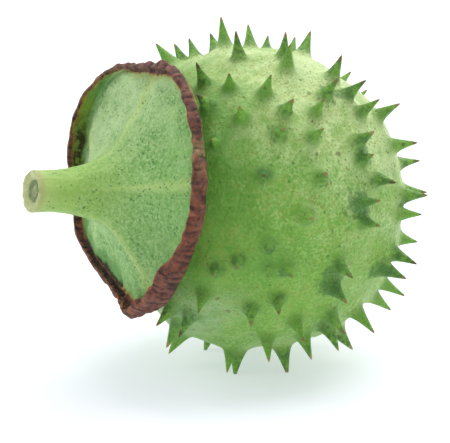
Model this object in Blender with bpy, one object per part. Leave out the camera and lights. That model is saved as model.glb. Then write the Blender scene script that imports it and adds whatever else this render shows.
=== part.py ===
"""A thorn apple seed pod as picked: a round capsule set with conical thorns, the calyx that stays behind
the fruit as a ribbed collar with a dry upturned margin, and the short stem, cut square. The pod lies on its
side, on the worn tips of four thorns, with its stem rising a little from the table.

Metres, +Z up. The table is z = 0. Every piece is modelled in the pod's own axes, with the capsule's centre
at 0 and local +Z along the stem, and then hung on the empty pod_axis, which lays the pod down. A place on
the capsule is given by two angles in degrees: from_stem is the angle away from the stem, and turn goes
round the stem, from 0 at the top of the lying pod, through 90 on its -Y side, to 180 underneath.
"""

import math

import bmesh
import bpy
import numpy as np
from mathutils import Matrix, Vector

MM = 0.001

# Driving dimensions
CAPSULE_R = 20.0 * MM
CENTRE_HEIGHT = 22.4 * MM  # capsule's centre over the table, on the thorn tips
CENTRE_X = 5.1 * MM  # puts the middle of the pod's length over the origin
STEM_RISE = 10.0  # degrees between the stem and the table
GAP = 0.3 * MM  # between pieces that meet

# Thorns
THORN_LENGTH = 3.7 * MM
THORN_FOOT_R = 1.9 * MM  # where a thorn's flared foot runs out into the skin
THORN_SHARPNESS = 1.8
THORN_RINGS = (0.10, 0.34, 0.64, 1.0)  # in parts of the foot's radius
THORN_SIDES = 6
WORN_TIP = 0.9 * MM  # what is blunted off each tip that the pod lies on
TABLE_CLEARANCE = 0.4 * MM  # under the tips of the other thorns
SKIN_SPACING = 2.6 * MM
LUMP_HEIGHT = 0.25 * MM

# Calyx
RIBS = 5
RIB_TURN = 2.0  # the first rib
COLLAR_R = 16.1 * MM
COLLAR_Z = 17.7 * MM  # the plane in which the margin turns up, above the capsule's centre
COLLAR_SWELLS = ((1, 0, 1.6), (2, -58, 1.0), (3, 40, 0.45), (5, 19, 0.4))  # lobes, turn of one, mm
COLLAR_SLOPE = 0.46
NECK_R = 3.1 * MM
NECK_Z = 28.4 * MM
FLARE_RISE = 3.9 * MM
FLARE_WIDTH = 0.95 * MM
WEB_SAG = 0.9 * MM  # how far the collar sinks between two ribs
SHEET = 0.8 * MM
LIP_HEIGHT = 1.7 * MM
SEAT_R = 5.0 * MM
CALYX_STEPS = 50

# Stem
STEM_R = 2.62 * MM
STEM_END_Z = 33.8 * MM
PITH_R = 1.35 * MM
PITH_DEPTH = 0.6 * MM
STEM_SIDES = 24

# Where the pod touches the table: from_stem and turn of each thorn
RESTING_THORNS = ((101, 161), (86, 169), (113, 191), (91, 196))

# The other thorns of the upper and -Y side: from_stem, turn, length in parts of THORN_LENGTH
NEAR_THORNS = (
    # beside the collar
    (45, 52, 0.5), (47, 32, 1.0), (51, 15, 1.05), (56, 44, 0.95), (57, 26, 0.85), (60, 70, 0.5),
    (49, 116, 0.6), (55, 108, 0.7), (50, 132, 0.95), (52, 147, 1.05), (46, 153, 1.05), (54, 162, 1.05),
    # along the top
    (63, -32, 1.1), (74, -39, 1.0), (76, -34, 0.95), (81, -27, 0.85), (74, -10, 1.15), (69, 8, 1.1),
    (94, -23, 1.05), (97, -17, 0.6), (83, 16, 1.05), (80, 24, 1.1), (110, -20, 0.95), (111, -13, 1.05),
    (97, 29, 1.1), (131, -15, 0.95), (89, 39, 1.1), (100, 37, 1.0), (139, -10, 0.9),
    # across the -Y side
    (67, 35, 1.05), (71, 45, 0.95), (83, 46, 0.95), (67, 54, 0.8), (79, 56, 1.0), (80, 71, 1.05),
    (104, 44, 1.0), (115, 42, 1.05), (98, 57, 1.05), (100, 63, 0.65), (118, 55, 1.05), (106, 70, 1.05),
    (125, 75, 1.05), (98, 79, 1.05), (100, 86, 0.95), (123, 83, 0.9), (75, 85, 0.95), (154, 41, 0.95),
    (156, 67, 1.05), (64, 98, 0.35), (66, 107, 0.35), (72, 105, 0.85), (92, 102, 1.05), (93, 111, 1.05),
    (127, 102, 1.05), (120, 107, 1.05),
    # below, round the resting thorns
    (67, 127, 0.95), (74, 119, 0.95), (99, 125, 1.05), (103, 133, 1.05), (85, 128, 1.05), (93, 136, 1.05),
    (80, 140, 1.05), (117, 130, 1.1), (79, 163, 0.95), (123, 155, 1.05), (139, 130, 1.05), (138, 141, 1.05),
    (162, 119, 0.8),
)
FAR_SIDE = (123, -101)  # the middle of the side that the spiral fills
SPIRAL_THORNS = 150
THORN_SPACING = 15.0  # degrees between thorns that the spiral places
BARE_CAP = 44.0  # no thorns within this angle of the stem, under the collar


def direction(from_stem, turn):
    """Unit vector, in the pod's axes, of a place on the capsule."""
    polar, round_stem = math.radians(from_stem), math.radians(turn)
    return Vector((
        math.sin(polar) * math.cos(round_stem),
        -math.sin(polar) * math.sin(round_stem),
        math.cos(polar),
    ))


def up_in_pod():
    """The table's upward normal, in the pod's axes."""
    rise = math.radians(STEM_RISE)
    return Vector((math.cos(rise), 0.0, math.sin(rise)))


def spiral(count):
    """Directions spread evenly over the ball, one golden angle apart."""
    for i in range(count):
        height = 1 - (2 * i + 1) / count
        level = math.sqrt(1 - height * height)
        angle = i * math.pi * (3 - math.sqrt(5))
        yield Vector((level * math.cos(angle), level * math.sin(angle), height))


def room_under(way):
    """How far the table is below the skin in a direction: very far in one that doesn't go down to it."""
    falling = max(-way.dot(up_in_pod()), 0.1)
    return CENTRE_HEIGHT / falling - skin_radius(np.array([way]))[0]


def place_thorns():
    """Every thorn as (direction, length). A resting thorn is as long as it takes to reach the table."""
    thorns = []
    for angles in RESTING_THORNS:
        way = direction(*angles)
        thorns.append((way, room_under(way) + WORN_TIP))
    for from_stem, turn, share in NEAR_THORNS:
        thorns.append((direction(from_stem, turn), share * THORN_LENGTH))
    far, placed = direction(*FAR_SIDE), [way for way, _ in thorns]
    for i, way in enumerate(spiral(SPIRAL_THORNS)):
        bare = way.z > math.cos(math.radians(BARE_CAP))
        close = max(way.dot(other) for other in placed) > math.cos(math.radians(THORN_SPACING))
        if bare or close or way.dot(far) < 0:
            continue
        placed.append(way)
        length = THORN_LENGTH * (0.92 + 0.14 * math.sin(2.4 * i))
        thorns.append((way, min(length, room_under(way) - TABLE_CLEARANCE)))
    return thorns


def skin_radius(ways):
    """Distance of the bare skin from the centre: a ball with shallow lumps."""
    x, y, z = (ways / np.linalg.norm(ways, axis=1)[:, None]).T
    lumps = np.sin(5.1 * x + 1.3) * np.sin(4.3 * y + 0.4) + np.sin(6.2 * z - 2.0 * x) * np.sin(5.4 * y)
    return CAPSULE_R + LUMP_HEIGHT * lumps


def raise_thorns(points, thorns):
    """Unit directions moved out to the skin, with each thorn's cone standing on it."""
    radius = skin_radius(points)
    highest = np.zeros(len(points))
    for way, length in thorns:
        angle = np.arccos(np.clip(points @ np.array(way), -1, 1))
        across = angle * CAPSULE_R / (THORN_FOOT_R * math.sqrt(length / THORN_LENGTH))
        cone = length * np.clip(1 - across, 0, 1) ** THORN_SHARPNESS
        highest = np.maximum(highest, cone)
    return points * (radius + highest)[:, None]


def frame_on(way):
    """Rotation that carries +Z to a direction."""
    return way.to_track_quat("Z", "Y").to_matrix().to_4x4()


def capsule_mesh(thorns):
    """Rings of points round every thorn and a lattice between them, skinned as one hull of the unit ball,
    then raised to the real surface and cut by the table."""
    bm = bmesh.new()
    for way, length in thorns:
        foot = THORN_FOOT_R * math.sqrt(length / THORN_LENGTH) / CAPSULE_R
        bm.verts.new(way)
        for k, ring in enumerate(THORN_RINGS):
            circle = bmesh.ops.create_circle(bm, segments=THORN_SIDES, radius=math.tan(foot * ring))
            twist = Matrix.Rotation(math.pi * k / THORN_SIDES, 4, "Z")
            lift = Matrix.Translation((0, 0, 1))
            bmesh.ops.transform(bm, matrix=frame_on(way) @ lift @ twist, verts=circle["verts"])
    ways = np.array([way for way, _ in thorns])
    between = int(4 * math.pi * CAPSULE_R**2 / (0.87 * SKIN_SPACING**2))
    clear = math.cos((THORN_FOOT_R + 0.4 * SKIN_SPACING) / CAPSULE_R)
    for way in spiral(between):
        if (ways @ np.array(way)).max() < clear:
            bm.verts.new(way)
    bmesh.ops.delete(bm, geom=list(bm.edges), context="EDGES_FACES")
    for vert in bm.verts:
        vert.co.normalize()
    bmesh.ops.remove_doubles(bm, verts=bm.verts, dist=0.008)
    bmesh.ops.convex_hull(bm, input=bm.verts)
    bmesh.ops.triangulate(bm, faces=bm.faces)
    raised = raise_thorns(np.array([vert.co for vert in bm.verts], float), thorns)
    for vert, place in zip(bm.verts, raised):
        vert.co = place
    wear_tips(bm)
    return finished(bm, "capsule")


def wear_tips(bm):
    """Cuts off what would reach through the table, and closes each cut with a flat face."""
    cut = bmesh.ops.bisect_plane(
        bm, geom=[*bm.verts, *bm.edges, *bm.faces], dist=1e-7,
        plane_co=-CENTRE_HEIGHT * up_in_pod(), plane_no=-up_in_pod(), clear_outer=True,
    )
    rims = [edge for edge in cut["geom_cut"] if isinstance(edge, bmesh.types.BMEdge)]
    bmesh.ops.holes_fill(bm, edges=rims)


def collar_radius(turn):
    """The collar's outline, fuller on its upper side, with soft corners."""
    swells = [height * math.cos(lobes * math.radians(turn - crest)) for lobes, crest, height in COLLAR_SWELLS]
    return COLLAR_R + sum(swells) * MM


def collar_height(r):
    """The collar's outer face along a rib: a cone that flares up into the neck."""
    flare = FLARE_RISE * math.exp(-(r - NECK_R) / FLARE_WIDTH)
    return COLLAR_Z + COLLAR_SLOPE * (COLLAR_R - r) + flare


def neck_radius():
    """Where the flare reaches the neck's height, found by halving."""
    low, high = 0.5 * NECK_R, 2 * NECK_R
    for _ in range(40):
        middle = (low + high) / 2
        low, high = (middle, high) if collar_height(middle) > NECK_Z else (low, middle)
    return middle


def calyx_outline():
    """Half outline through the axis, from the neck's middle out over the upturned lip and back to the seat."""
    neck = neck_radius()
    span = COLLAR_R - neck
    outer = [neck + span * share for share in (0, 0.03, 0.07, 0.12, 0.2, 0.32, 0.48, 0.64, 0.78, 0.88)]
    upper = [(r, collar_height(r)) for r in outer]
    lip = [
        (COLLAR_R - 1.3 * SHEET, COLLAR_Z + 0.45 * LIP_HEIGHT),
        (COLLAR_R - 0.9 * SHEET, COLLAR_Z + LIP_HEIGHT),
        (COLLAR_R - 0.2 * SHEET, COLLAR_Z + LIP_HEIGHT),
        (COLLAR_R, COLLAR_Z + 0.1 * LIP_HEIGHT),
        (COLLAR_R - 0.6 * SHEET, COLLAR_Z - 0.3 * LIP_HEIGHT),
    ]
    inner = [COLLAR_R - share * (COLLAR_R - SEAT_R) for share in (0.15, 0.35, 0.6, 0.8)]
    lower = [(r, collar_height(r) - SHEET) for r in inner]
    seat = [(r, math.sqrt((CAPSULE_R + 2 * LUMP_HEIGHT + GAP) ** 2 - r * r)) for r in (SEAT_R, 0.5 * SEAT_R)]
    return [(0, NECK_Z), *upper, *lip, *lower, *seat, (0, CAPSULE_R + 2 * LUMP_HEIGHT + GAP)]


def shape_collar(bm):
    """Gives the turned collar its outline, its webs sunk between the ribs and its wavy margin."""
    for vert in bm.verts:
        r = math.hypot(vert.co.x, vert.co.y)
        if r <= NECK_R:
            continue
        turn = math.degrees(math.atan2(-vert.co.y, vert.co.x))
        out = (r - NECK_R) / (COLLAR_R - NECK_R)
        grown = 1 + (collar_radius(turn) / COLLAR_R - 1) * min(out, 1)
        vert.co.x *= grown
        vert.co.y *= grown
        between = 0.5 - 0.5 * math.cos(RIBS * math.radians(turn - RIB_TURN))
        vert.co.z -= WEB_SAG * between * math.sin(math.pi * min(out, 1))
        lift = max(vert.co.z - COLLAR_Z, 0) * (out > 1)
        vert.co.z += 0.3 * lift * math.sin(math.radians(7 * turn))


def calyx_mesh():
    bm = bmesh.new()
    points = [bm.verts.new((r, 0, z)) for r, z in calyx_outline()]
    line = [bm.edges.new(pair) for pair in zip(points, points[1:])]
    bmesh.ops.spin(
        bm, geom=[*points, *line], axis=(0, 0, 1), cent=(0, 0, 0),
        angle=2 * math.pi, steps=CALYX_STEPS, use_merge=True,
    )
    bmesh.ops.remove_doubles(bm, verts=bm.verts, dist=0.01 * MM)
    shape_collar(bm)
    return finished(bm, "calyx")


def stem_mesh():
    """The stalk, cut square, with its pith shrunk back from the cut."""
    bm = bmesh.new()
    neck, start = neck_radius(), NECK_Z + GAP
    outline = [
        (0, start), (neck, start), (STEM_R, start + 1.6 * MM), (STEM_R, STEM_END_Z - 2.5 * MM),
        (STEM_R + 0.12 * MM, STEM_END_Z - 0.5 * MM), (STEM_R - 0.15 * MM, STEM_END_Z),
        (PITH_R, STEM_END_Z), (PITH_R - 0.3 * MM, STEM_END_Z - PITH_DEPTH), (0, STEM_END_Z - PITH_DEPTH),
    ]
    points = [bm.verts.new((r, 0, z)) for r, z in outline]
    line = [bm.edges.new(pair) for pair in zip(points, points[1:])]
    bmesh.ops.spin(
        bm, geom=[*points, *line], axis=(0, 0, 1), cent=(0, 0, 0),
        angle=2 * math.pi, steps=STEM_SIDES, use_merge=True,
    )
    bmesh.ops.remove_doubles(bm, verts=bm.verts, dist=0.01 * MM)
    return finished(bm, "stem")


def finished(bm, name):
    bmesh.ops.recalc_face_normals(bm, faces=bm.faces)
    mesh = bpy.data.meshes.new(name)
    bm.to_mesh(mesh)
    bm.free()
    mesh.shade_smooth()
    mesh.set_sharp_from_angle(angle=math.radians(50))
    return mesh


def material(name, colour, roughness):
    made = bpy.data.materials.new(name)
    made.use_nodes = True
    shader = made.node_tree.nodes["Principled BSDF"]
    shader.inputs["Base Color"].default_value = (*colour, 1)
    shader.inputs["Roughness"].default_value = roughness
    shader.inputs["Metallic"].default_value = 0
    return made


def add(mesh, axis, finish):
    piece = bpy.data.objects.new(mesh.name, mesh)
    bpy.context.scene.collection.objects.link(piece)
    mesh.materials.append(finish)
    piece.parent = axis
    return piece


def main():
    for old in list(bpy.data.objects):
        bpy.data.objects.remove(old)
    axis = bpy.data.objects.new("pod_axis", None)
    bpy.context.scene.collection.objects.link(axis)
    axis.location = (CENTRE_X, 0, CENTRE_HEIGHT)
    axis.rotation_euler = (0, math.radians(STEM_RISE - 90), 0)
    add(capsule_mesh(place_thorns()), axis, material("capsule_skin", (0.28, 0.48, 0.14), 0.55))
    add(calyx_mesh(), axis, material("calyx_green", (0.30, 0.50, 0.18), 0.6))
    add(stem_mesh(), axis, material("stem_green", (0.33, 0.52, 0.13), 0.5))


main()
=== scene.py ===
"""A thorn apple seed pod as picked, lying on its side on a pale table: a round capsule set with conical
thorns, the calyx that stays behind the fruit as a ribbed collar with a dry, upturned margin, and the short
stem, cut square.

Metres, +Z up, table at z = 0. Each piece is shaped in the pod's own axes, with the capsule's centre at 0 and
local +Z along the stem, and then laid down with the matrix LAID. A place on the capsule is given by two
angles in degrees: from_stem is the angle away from the stem, and turn goes round the stem, from 0 at the top
of the lying pod, through 90 on its -Y side, to 180 underneath.
"""

import math

import bmesh
import bpy
import numpy as np
from mathutils import Matrix, Vector, noise


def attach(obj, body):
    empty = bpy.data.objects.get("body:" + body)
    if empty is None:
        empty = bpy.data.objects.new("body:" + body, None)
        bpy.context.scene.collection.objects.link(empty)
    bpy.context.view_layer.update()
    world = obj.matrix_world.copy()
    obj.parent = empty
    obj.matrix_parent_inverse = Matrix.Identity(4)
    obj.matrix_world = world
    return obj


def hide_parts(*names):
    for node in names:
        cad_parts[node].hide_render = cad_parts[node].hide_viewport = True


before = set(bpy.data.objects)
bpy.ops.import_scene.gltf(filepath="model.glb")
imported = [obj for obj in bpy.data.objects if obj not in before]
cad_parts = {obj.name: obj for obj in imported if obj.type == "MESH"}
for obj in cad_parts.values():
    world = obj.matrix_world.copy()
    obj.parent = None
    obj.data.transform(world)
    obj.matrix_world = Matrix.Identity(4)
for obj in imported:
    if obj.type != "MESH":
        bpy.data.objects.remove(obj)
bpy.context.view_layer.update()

MM = 0.001
CAPSULE_R = 20.0 * MM
CENTRE = Vector((5.1, 0, 22.4)) * MM
STEM_RISE = math.radians(10)
LAID = Matrix.Translation(CENTRE) @ Matrix.Rotation(STEM_RISE - math.pi / 2, 4, "Y")

# Thorns
THORN_LENGTH = 3.7 * MM
THORN_FOOT_R = 1.6 * MM  # where a thorn's cone runs out into the skin
THORN_SHARPNESS = 2.5
BLUNTNESS = 0.13 * MM
MOUND_HEIGHT = 0.7 * MM  # the low mound that each thorn stands on
MOUND_R = 2.1 * MM
DARK_FOOT_R = 1.6 * MM  # round a thorn, how far its darker green spreads: partly the skin's own, partly painted shade at the foot
WORN_TIP = 0.5 * MM  # what is blunted off each tip that the pod lies on
TABLE_CLEARANCE = 0.4 * MM
PATCH_R = 1.7 * MM  # round each thorn, the part of the skin that is drawn up into rings
PATCH_SIDES = 10
PATCH_RINGS = (0.8, 0.63, 0.49, 0.37, 0.27, 0.19, 0.12, 0.06, 0.02)  # in parts of the patch's radius
SKIN_SPACING = 1.3 * MM

RESTING_THORNS = ((101, 161), (86, 169), (113, 191), (91, 196))
# from_stem, turn, length in parts of THORN_LENGTH
NEAR_THORNS = (
    # beside the collar
    (45, 52, 0.5), (47, 32, 1.0), (51, 15, 1.05), (56, 44, 0.95), (57, 26, 0.85), (60, 70, 0.5),
    (49, 116, 0.6), (55, 108, 0.7), (50, 132, 0.95), (52, 147, 1.05), (46, 153, 1.05), (54, 162, 1.05),
    # along the top
    (63, -32, 1.1), (74, -39, 1.0), (76, -34, 0.95), (81, -27, 0.85), (74, -10, 1.15), (69, 8, 1.1),
    (94, -23, 1.05), (97, -17, 0.6), (83, 16, 1.05), (80, 24, 1.1), (110, -20, 0.95), (111, -13, 1.05),
    (97, 29, 1.1), (131, -15, 0.95), (89, 39, 1.1), (100, 37, 1.0), (139, -10, 0.9),
    # across the -Y side
    (67, 35, 1.05), (71, 45, 0.95), (83, 46, 0.95), (67, 54, 0.8), (79, 56, 1.0), (80, 71, 1.05),
    (104, 44, 1.0), (115, 42, 1.05), (98, 57, 1.05), (100, 63, 0.65), (118, 55, 1.05), (106, 70, 1.05),
    (125, 75, 1.05), (98, 79, 1.05), (100, 86, 0.95), (123, 83, 0.9), (75, 85, 0.95), (154, 41, 0.95),
    (156, 67, 1.05), (64, 98, 0.35), (66, 107, 0.35), (72, 105, 0.85), (92, 102, 1.05), (93, 111, 1.05),
    (127, 102, 1.05), (120, 107, 1.05),
    # below, round the resting thorns
    (67, 127, 0.95), (74, 119, 0.95), (99, 125, 1.05), (103, 133, 1.05), (85, 128, 1.05), (93, 136, 1.05),
    (80, 140, 1.05), (117, 130, 1.1), (79, 163, 0.95), (123, 155, 1.05), (139, 130, 1.05), (138, 141, 1.05),
    (162, 119, 0.8),
)
FAR_SIDE = (123, -101)
# Bruised skin, mostly round the feet of twin thorns: from_stem, turn, mm across
DARK_SPOTS = (
    (98, 81, 5.5), (91, 108, 5.2), (101, 60, 3.6), (93, 37, 3.4), (117, 107, 3.4), (98, 131, 2.8),
    (64, 99, 1.8), (72, 107, 1.8), (60, 69, 1.8), (126, 79, 3.0), (110, 155, 2.6),
)
CAPSULE_LAYERS = ("up_thorn", "near_foot", "which_thorn", "bruised")
SPIRAL_THORNS = 150
THORN_SPACING = 15.0  # degrees
BARE_CAP = 44.0  # degrees from the stem
UNDER_COLLAR = 66.0  # degrees from the stem, within which the far side's thorns stay short

# Calyx
RIBS = 5
RIB_TURN = 2.0
COLLAR_R = 16.1 * MM
COLLAR_Z = 17.7 * MM
COLLAR_SLOPE = 0.46
COLLAR_SWELLS = ((1, 0, 1.6), (2, -58, 1.0), (3, 40, 0.45), (5, 19, 0.4))  # lobes, turn of one, mm
NECK_R = 3.1 * MM
NECK_Z = 28.4 * MM
FLARE_RISE = 3.9 * MM
FLARE_WIDTH = 0.95 * MM
WEB_SAG = 1.25 * MM
SHEET = 0.8 * MM
SEAT_R = 5.0 * MM
SEAT_Z = CAPSULE_R + 0.5 * MM
# Where the collar's outline stands out or in: turn, spread, mm out, mm towards the stem
CORNERS = (
    (48, 24, 0.75, 0), (-72, 36, -1.3, -0.5), (-30, 14, 0.3, 0), (161, 6, 0.6, 0.2), (176, 12, -0.3, 0),
    (100, 20, -0.3, 0), (-140, 28, 0, 0.45), (16, 12, 0.8, 0), (139, 12, 0.4, -0.4),
)
DROOP = 0.42 * MM  # how far the stem's end hangs below the pod's axis
MARGIN_BEND = 0.7 * MM  # radius of the fold where the margin turns up
# Round the margin: turn, height, thickness, how far it curls over (degrees), where the dry edge starts on
# its inner face and where it ends on its outer face (in parts of its width)
MARGIN = (
    (-170, 1.1, 0.6, 100, 0.1, 1.9), (-140, 0.9, 0.5, 90, 0.2, 1.9), (-110, 1.5, 0.4, 85, 0.6, 1.8),
    (-88, 2.4, 0.32, 74, 0.82, 1.8), (-62, 2.6, 0.32, 72, 0.9, 1.7), (-40, 1.7, 0.4, 88, 0.85, 1.6),
    (-15, 1.2, 0.8, 150, -0.1, 1.8), (10, 1.4, 1.0, 160, -0.1, 1.8), (34, 1.2, 0.7, 125, 0.0, 1.5),
    (60, 2.0, 0.9, 112, -0.1, 1.7), (90, 1.9, 0.9, 114, -0.1, 1.85), (115, 2.4, 1.1, 118, -0.1, 1.85),
    (138, 3.4, 1.4, 128, -0.15, 1.9), (151, 3.1, 1.3, 120, -0.15, 1.9), (164, 1.9, 0.9, 105, -0.1, 1.9),
    (177, 1.1, 0.7, 100, 0.0, 1.9),
)
SMOOTH_TURN = -100.0  # degrees, where the margin is least shrivelled
MARGIN_STEPS = 26
CALYX_LAYERS = ("inside_dry_edge", "near_rib", "on_pleat", "at_free_edge")
CALYX_STEPS = 640
# How far along the collar's outer face, and back underneath it, its rings of points lie
FACE_SHARES = np.concatenate([[0, 0.02, 0.05, 0.08, 0.12, 0.16, 0.2], np.linspace(0.24, 0.97, 22)])
BACK_SHARES = np.array([0.04, 0.1, 0.2, 0.32, 0.45, 0.58, 0.7, 0.8, 0.9, 1.0])

# Stem
STEM_R = 2.62 * MM
STEM_END_Z = 33.8 * MM
# From the cut rim to the middle of the pith: mm in from the bark, mm down from the rim, how deep in the pith
CUT_END = (
    (0, 0.28, 0.2), (0.03, 0.15, 0.4), (0.1, 0.05, 0.5), (0.2, 0, 0.5), (0.32, 0.02, 0.5), (0.5, 0.1, 0.5),
    (0.7, 0.2, 0.5), (0.9, 0.3, 0.55), (1.1, 0.42, 0.62), (1.25, 0.55, 0.8), (1.4, 0.64, 1.0),
    (1.6, 0.68, 1.0), (1.85, 0.66, 0.95), (2.1, 0.6, 0.8), (2.4, 0.57, 0.8), (2.72, 0.56, 0.8),
)
STEM_STEPS = 96

# Studio
CAMERA_AZIMUTH, CAMERA_ELEVATION = math.radians(-32), math.radians(15)
CAMERA_DISTANCE = 350 * MM
LENS, SENSOR = 210, 36
AIM_LEFT, AIM_DOWN = 3.73 * MM, 3.13 * MM  # of the capsule's centre
TABLE_HALF = 4.0  # metres
TABLE_COLOUR = (0.62, 0.63, 0.66, 1)
TABLE_GLOW, TABLE_GLOW_COLOUR = 0.48, (0.88, 0.93, 1.0, 1)
ROOM_LIGHT = 0.6


def direction(from_stem, turn):
    """Unit vector, in the pod's axes, of a place on the capsule."""
    polar, round_stem = math.radians(from_stem), math.radians(turn)
    return Vector((
        math.sin(polar) * math.cos(round_stem),
        -math.sin(polar) * math.sin(round_stem),
        math.cos(polar),
    ))


TABLE_UP = LAID.to_3x3().inverted() @ Vector((0, 0, 1))


def spiral(count):
    """Directions spread evenly over the ball, one golden angle apart."""
    for i in range(count):
        height = 1 - (2 * i + 1) / count
        level = math.sqrt(1 - height * height)
        angle = i * math.pi * (3 - math.sqrt(5))
        yield Vector((level * math.cos(angle), level * math.sin(angle), height))


def bare_skin(ways):
    """Distance of the skin from the centre: a ball with broad, shallow lumps and finer ones on them."""
    x, y, z = ways.T
    broad = np.sin(5.1 * x + 1.3) * np.sin(4.3 * y + 0.4) + np.sin(6.2 * z - 2.0 * x) * np.sin(5.4 * y)
    hilly = np.array([noise.noise(Vector(way) * 5) + 0.4 * noise.noise(Vector(way) * 12) for way in ways])
    return CAPSULE_R + 0.25 * MM * broad + 0.3 * MM * hilly


def room_under(way):
    """How far the table is below the skin in a direction: very far in one that doesn't go down to it."""
    falling = max(-way.dot(TABLE_UP), 0.1)
    return CENTRE.z / falling - bare_skin(np.array([way]))[0]


def place_thorns():
    """Every thorn as (direction, length). A resting thorn is as long as it takes to reach the table."""
    thorns = []
    for angles in RESTING_THORNS:
        way = direction(*angles)
        thorns.append((way, room_under(way) + WORN_TIP - MOUND_HEIGHT))
    for from_stem, turn, share in NEAR_THORNS:
        thorns.append((direction(from_stem, turn), share * THORN_LENGTH - 0.5 * MOUND_HEIGHT))
    far, placed = direction(*FAR_SIDE), [way for way, _ in thorns]
    for i, way in enumerate(spiral(SPIRAL_THORNS)):
        bare = way.z > math.cos(math.radians(BARE_CAP))
        close = max(way.dot(other) for other in placed) > math.cos(math.radians(THORN_SPACING))
        if bare or close or way.dot(far) < 0:
            continue
        placed.append(way)
        length = THORN_LENGTH * (0.92 + 0.14 * math.sin(2.4 * i))
        if way.z > math.cos(math.radians(UNDER_COLLAR)):
            length *= 0.5
        thorns.append((way, min(length, room_under(way) - TABLE_CLEARANCE) - 0.5 * MOUND_HEIGHT))
    return thorns


class Thorns:
    """All the thorns as arrays, with the lean and the patch that each has."""

    def __init__(self):
        placed = place_thorns()
        self.ways = np.array([way for way, _ in placed])
        self.lengths = np.array([length for _, length in placed])
        self.feet = THORN_FOOT_R * np.sqrt(np.clip(self.lengths / THORN_LENGTH, 0.25, 1.3))
        apart = np.arccos(np.clip(self.ways @ self.ways.T, -1, 1)) * CAPSULE_R
        np.fill_diagonal(apart, 1)
        self.patches = np.minimum(PATCH_R, 0.44 * apart.min(axis=1))
        dice = np.random.default_rng(7)
        self.feet *= dice.uniform(0.8, 1.15, len(placed))
        lean = dice.normal(0, 0.3 * MM, (len(placed), 3))
        lean[:len(RESTING_THORNS)] = 0
        self.leans = lean - self.ways * (lean * self.ways).sum(axis=1)[:, None]
        self.marks = dice.random(len(placed))


def skin_net(thorns):
    """The skin as a closed net on the unit ball, open in a ring round each thorn."""
    bm = bmesh.new()
    for way, patch in zip(thorns.ways, thorns.patches):
        sides = PATCH_SIDES if patch > 0.7 * PATCH_R else PATCH_SIDES - 2
        circle = bmesh.ops.create_circle(bm, segments=sides, radius=patch / CAPSULE_R)
        upright = Vector(way).to_track_quat("Z", "Y").to_matrix().to_4x4()
        bmesh.ops.transform(bm, matrix=upright @ Matrix.Translation((0, 0, 1)), verts=circle["verts"])
    clear = np.cos((thorns.patches + 0.5 * SKIN_SPACING) / CAPSULE_R)
    for way in spiral(int(4 * math.pi * CAPSULE_R**2 / (0.87 * SKIN_SPACING**2))):
        if np.all(thorns.ways @ np.array(way) < clear):
            bm.verts.new(way)
    bmesh.ops.delete(bm, geom=list(bm.edges), context="EDGES_FACES")
    for vert in bm.verts:
        vert.co.normalize()
    bmesh.ops.convex_hull(bm, input=bm.verts)
    near = np.cos(1.03 * thorns.patches / CAPSULE_R)
    caps = [
        face for face in bm.faces
        if np.any(np.min(thorns.ways @ np.array([v.co for v in face.verts]).T, axis=1) > near)
    ]
    bmesh.ops.delete(bm, geom=caps, context="FACES")
    bmesh.ops.subdivide_edges(bm, edges=bm.edges, cuts=1, use_grid_fill=True)
    return bm


def draw_up_rings(bm, thorns):
    """Fills each opening of the net with rings that close in on the thorn's tip."""
    rims = [edge for edge in bm.edges if edge.is_boundary]
    last = 1.0
    for ring in PATCH_RINGS:
        drawn = bmesh.ops.extrude_edge_only(bm, edges=rims)["geom"]
        rims = [part for part in drawn if isinstance(part, bmesh.types.BMEdge) and part.is_boundary]
        for vert in (part for part in drawn if isinstance(part, bmesh.types.BMVert)):
            centre = Vector(thorns.ways[np.argmax(thorns.ways @ np.array(vert.co))])
            vert.co = centre + (vert.co - centre) * ring / last
        last = ring
    tips = {}
    for vert in {vert for edge in rims for vert in edge.verts}:
        tips.setdefault(int(np.argmax(thorns.ways @ np.array(vert.co))), []).append(vert)
    for thorn, verts in tips.items():
        bmesh.ops.pointmerge(bm, verts=verts, merge_co=Vector(thorns.ways[thorn]))
    for vert in bm.verts:
        vert.co.normalize()


def raise_skin(bm, thorns):
    """Moves the net out from the unit ball to the skin and the thorns, and writes down for the materials how
    far up its thorn each point is, how near a thorn's foot, which thorn it is on, and how bruised it is."""
    ways = np.array([vert.co for vert in bm.verts])
    away = np.arccos(np.clip(ways @ thorns.ways.T, -1, 1)) * CAPSULE_R
    eased = np.sqrt(away**2 + BLUNTNESS**2) - BLUNTNESS
    share = np.clip(1 - eased / thorns.feet, 0, 1) ** THORN_SHARPNESS
    cones = share * thorns.lengths
    weight = cones**4 + 1e-30
    height = weight.sum(axis=1) ** 0.25
    weight /= weight.sum(axis=1)[:, None]
    mound = 1 - np.prod(1 - np.exp(-((away / MOUND_R) ** 2)), axis=1)
    dark_foot = np.exp(-((away.min(axis=1) / DARK_FOOT_R) ** 2))
    leaned = (weight * share**1.3) @ thorns.leans
    placed = ways * (bare_skin(ways) + height + MOUND_HEIGHT * mound)[:, None] + leaned
    up_thorn = (weight * share).sum(axis=1)
    spots = np.array([direction(*spot[:2]) for spot in DARK_SPOTS])
    to_spots = np.arccos(np.clip(ways @ spots.T, -1, 1)) * CAPSULE_R
    bruised = np.exp(-((2 * to_spots / (np.array(DARK_SPOTS)[:, 2] * MM)) ** 2)).max(axis=1)
    layers = [bm.verts.layers.float.new(name) for name in CAPSULE_LAYERS]
    marks = thorns.marks[np.argmax(weight, axis=1)]
    for vert, place, *values in zip(bm.verts, placed, up_thorn, dark_foot, marks, bruised):
        vert.co = place
        for layer, value in zip(layers, values):
            vert[layer] = value


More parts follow.
